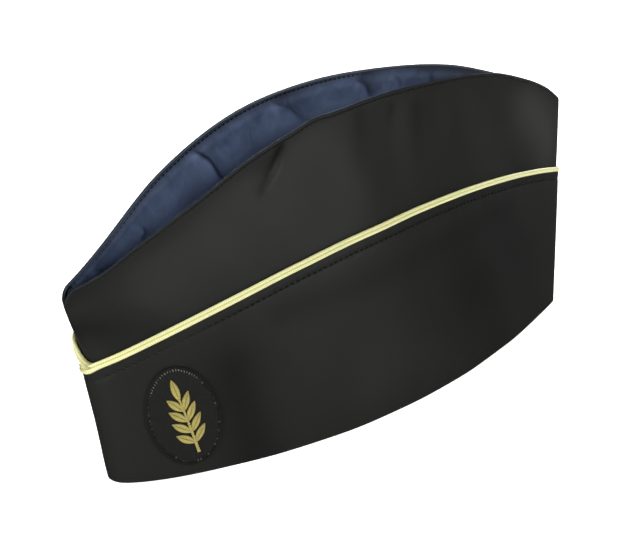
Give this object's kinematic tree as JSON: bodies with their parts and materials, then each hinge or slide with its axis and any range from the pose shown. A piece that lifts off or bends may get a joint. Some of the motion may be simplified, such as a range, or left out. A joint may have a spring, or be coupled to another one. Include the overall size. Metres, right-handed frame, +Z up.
{
  "type": "side cap",
  "caption": "Black cloth side cap with a sunk blue gusset on top, a turn-up curtain edged in pale gold braid and an oval badge at the left front, standing on its rim.",
  "frame": {"origin": "centre of the bounding box in the plane of the rim, which the cap stands on", "axes": "+X from the front tip to the rear tip, +Y to the wearer's right, +Z up from rim to crown"},
  "size_m": [0.2916, 0.0788, 0.1359],
  "materials": {
    "black_cloth": "smooth black gabardine with a soft sheen",
    "blue_satin": "navy blue lining satin, lightly creased",
    "gold_braid": "pale gold plaited braid",
    "badge_cloth": "black felted cloth with an overlocked edge",
    "gold_thread": "gold embroidery thread in satin stitch"
  },
  "bodies": {
    "root": {"crown_left": "black_cloth", "crown_right": "black_cloth", "crown_gusset": "blue_satin", "top_welt_left": "black_cloth", "top_welt_right": "black_cloth", "curtain_left": "black_cloth", "curtain_right": "black_cloth", "piping_left": "gold_braid", "piping_right": "gold_braid", "badge_patch": "badge_cloth", "badge_emblem": "gold_thread"}
  },
  "joints": []
}
